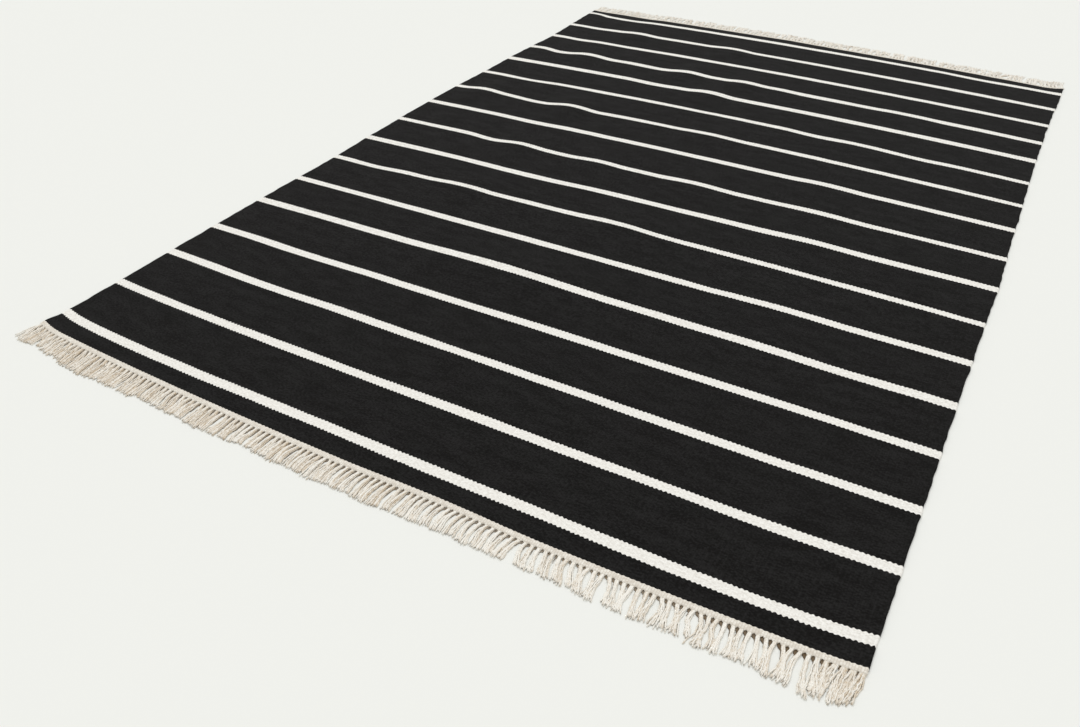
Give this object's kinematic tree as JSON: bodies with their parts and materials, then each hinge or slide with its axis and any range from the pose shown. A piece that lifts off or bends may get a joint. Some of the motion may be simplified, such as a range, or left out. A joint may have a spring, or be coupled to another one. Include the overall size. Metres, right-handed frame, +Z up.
{
  "type": "handwoven striped flat rug with fringe",
  "caption": "Flat-woven rectangular rug in near-black with narrow off-white cross stripes and a natural cotton fringe at both ends.",
  "frame": {"origin": "middle of the rug's footprint, on the floor", "axes": "+X across the rug along its stripes, +Y along its length, +Z up out of the floor"},
  "size_m": [2.019, 3.2, 0.013],
  "materials": {
    "field_yarn": "matte weft-faced weave, near-black with woven off-white stripes",
    "warp_yarn": "matte natural undyed cotton yarn"
  },
  "bodies": {
    "root": {"rug_field": "field_yarn", "fringe_near": "warp_yarn", "fringe_far": "warp_yarn"}
  },
  "joints": []
}
